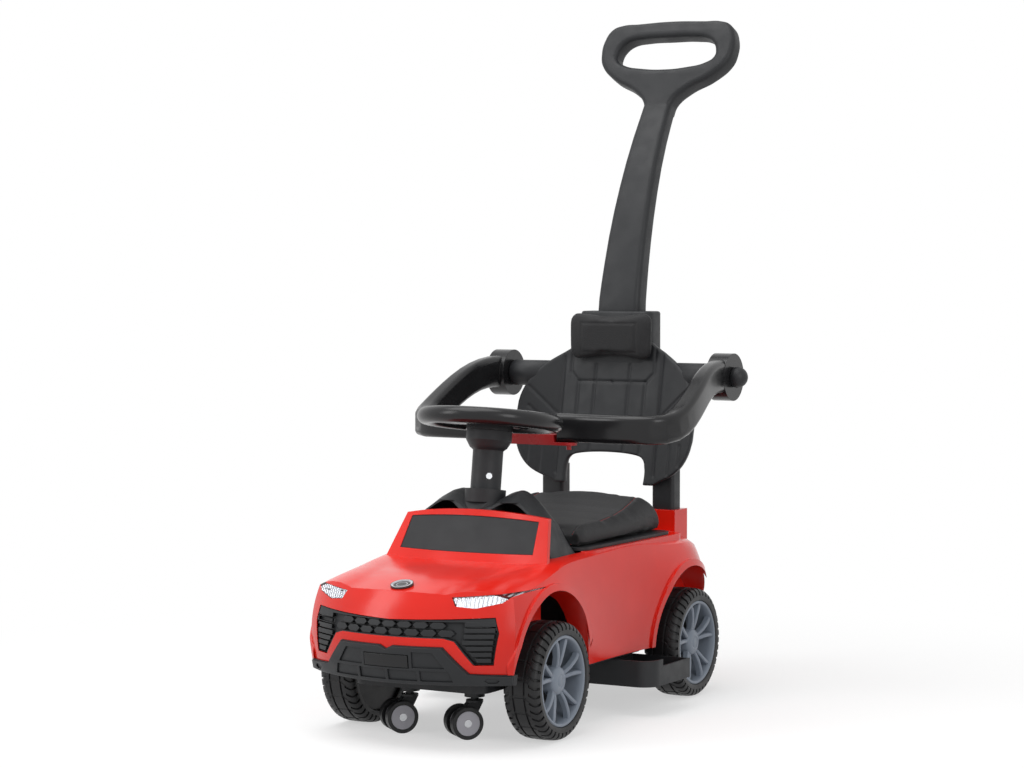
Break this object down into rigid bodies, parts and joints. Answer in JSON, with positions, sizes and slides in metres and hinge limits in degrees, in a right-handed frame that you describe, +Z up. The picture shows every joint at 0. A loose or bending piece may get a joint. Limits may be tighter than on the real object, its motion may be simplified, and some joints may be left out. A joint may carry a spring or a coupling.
{
  "type": "push car with handle",
  "caption": "Child's push car: glossy car body on road wheels and casters, padded seat over a storage tub, steering wheel, backrest, lifting guard and tall push handle.",
  "frame": {"origin": "centre of the bounding box's base, on the ground between the wheels", "axes": "+Z up, the nose points to -Y, +X to the car's left side"},
  "size_m": [0.418, 0.8238, 0.9559],
  "materials": {
    "shell_red": "glossy",
    "dull_black": "fine grained",
    "gloss_black": "semi-gloss",
    "clip_red": "satin",
    "seat_cover": "matt coated fabric",
    "tyre_black": "matt",
    "rim_grey": "satin",
    "disc_grey": "satin",
    "steel": "zinc plated",
    "clear_lens": "clear",
    "bright_reflector": "metallised",
    "badge_dark": "gloss"
  },
  "bodies": {
    "car": {"body_shell": "shell_red", "windscreen_panel": "dull_black", "dashboard_cover": "dull_black", "chassis_pan": "dull_black", "axle_saddles": "dull_black", "caster_sockets": "dull_black", "shaft_bearing": "dull_black", "storage_tub": "dull_black", "running_board_left": "dull_black", "running_board_right": "dull_black", "upper_grille": "dull_black", "front_bumper": "dull_black", "backrest_front": "dull_black", "backrest_back": "dull_black", "backrest_posts": "dull_black", "push_handle": "dull_black", "number_plate": "dull_black", "guard_pivot_tubes": "dull_black", "guard_knobs": "gloss_black", "headrest_pad": "seat_cover", "front_axle": "steel", "rear_axle": "steel", "axle_push_nuts": "steel", "seat_hinge_pin": "steel", "chassis_screws": "steel", "headlight_lenses": "clear_lens", "headlight_reflectors": "bright_reflector", "bonnet_badge": "badge_dark"},
    "wheel_front_left": {"tyre_front_left": "tyre_black", "rim_front_left": "rim_grey", "hub_cap_front_left": "rim_grey"},
    "wheel_front_right": {"tyre_front_right": "tyre_black", "rim_front_right": "rim_grey", "hub_cap_front_right": "rim_grey"},
    "wheel_rear_left": {"tyre_rear_left": "tyre_black", "rim_rear_left": "rim_grey", "hub_cap_rear_left": "rim_grey"},
    "wheel_rear_right": {"tyre_rear_right": "tyre_black", "rim_rear_right": "rim_grey", "hub_cap_rear_right": "rim_grey"},
    "caster_swivel_left": {"caster_fork_left": "dull_black", "caster_bolt_left": "steel"},
    "caster_wheels_left": {"caster_tyres_left": "tyre_black", "caster_discs_left": "disc_grey"},
    "caster_swivel_right": {"caster_fork_right": "dull_black", "caster_bolt_right": "steel"},
    "caster_wheels_right": {"caster_tyres_right": "tyre_black", "caster_discs_right": "disc_grey"},
    "steering": {"steering_wheel": "gloss_black", "steering_column": "dull_black", "column_screw": "steel", "steering_shaft": "steel", "shaft_retainer": "dull_black"},
    "horn": {"horn_button": "dull_black"},
    "seat": {"seat_lid": "dull_black", "seat_cushion": "seat_cover"},
    "guard": {"guard_arm_left": "gloss_black", "guard_arm_right": "gloss_black", "guard_clip": "clip_red"},
    "release_button": {"handle_button": "dull_black"}
  },
  "joints": [
    {"name": "wheel_spin_front_left", "type": "hinge", "parent": "car", "child": "wheel_front_left", "pos_m": [0.135, -0.242, 0.075], "axis": [1, 0, 0], "continuous": true},
    {"name": "wheel_spin_front_right", "type": "hinge", "parent": "car", "child": "wheel_front_right", "pos_m": [-0.135, -0.242, 0.075], "axis": [1, 0, 0], "continuous": true},
    {"name": "wheel_spin_rear_left", "type": "hinge", "parent": "car", "child": "wheel_rear_left", "pos_m": [0.135, 0.15, 0.075], "axis": [1, 0, 0], "continuous": true},
    {"name": "wheel_spin_rear_right", "type": "hinge", "parent": "car", "child": "wheel_rear_right", "pos_m": [-0.135, 0.15, 0.075], "axis": [1, 0, 0], "continuous": true},
    {"name": "caster_swivel_left", "type": "hinge", "parent": "car", "child": "caster_swivel_left", "pos_m": [0.048, -0.274, 0.06], "axis": [0, 0, 1], "continuous": true},
    {"name": "caster_roll_left", "type": "hinge", "parent": "caster_swivel_left", "child": "caster_wheels_left", "pos_m": [0.03836, -0.28549, 0.0205], "axis": [0.766, -0.6428, 0], "continuous": true},
    {"name": "caster_swivel_right", "type": "hinge", "parent": "car", "child": "caster_swivel_right", "pos_m": [-0.048, -0.274, 0.06], "axis": [0, 0, 1], "continuous": true},
    {"name": "caster_roll_right", "type": "hinge", "parent": "caster_swivel_right", "child": "caster_wheels_right", "pos_m": [-0.05764, -0.28549, 0.0205], "axis": [0.766, -0.6428, 0], "continuous": true},
    {"name": "steering_turn", "type": "hinge", "parent": "car", "child": "steering", "pos_m": [0, -0.15, 0.394], "axis": [0, 0.1392, 0.9903], "range_deg": [-60, 60]},
    {"name": "horn_press", "type": "slide", "parent": "steering", "child": "horn", "axis": [0, -0.1392, -0.9903], "range_m": [0, 0.003], "stiffness_N_per_m": 600},
    {"name": "seat_lift", "type": "hinge", "parent": "car", "child": "seat", "pos_m": [0, 0.154, 0.213], "axis": [-1, 0, 0], "range_deg": [0, 20]},
    {"name": "guard_lift", "type": "hinge", "parent": "car", "child": "guard", "pos_m": [0, 0.201, 0.441], "axis": [-1, 0, 0], "range_deg": [0, 100]},
    {"name": "release_press", "type": "slide", "parent": "car", "child": "release_button", "axis": [0, -1, 0], "range_m": [0, 0.004], "stiffness_N_per_m": 600}
  ]
}
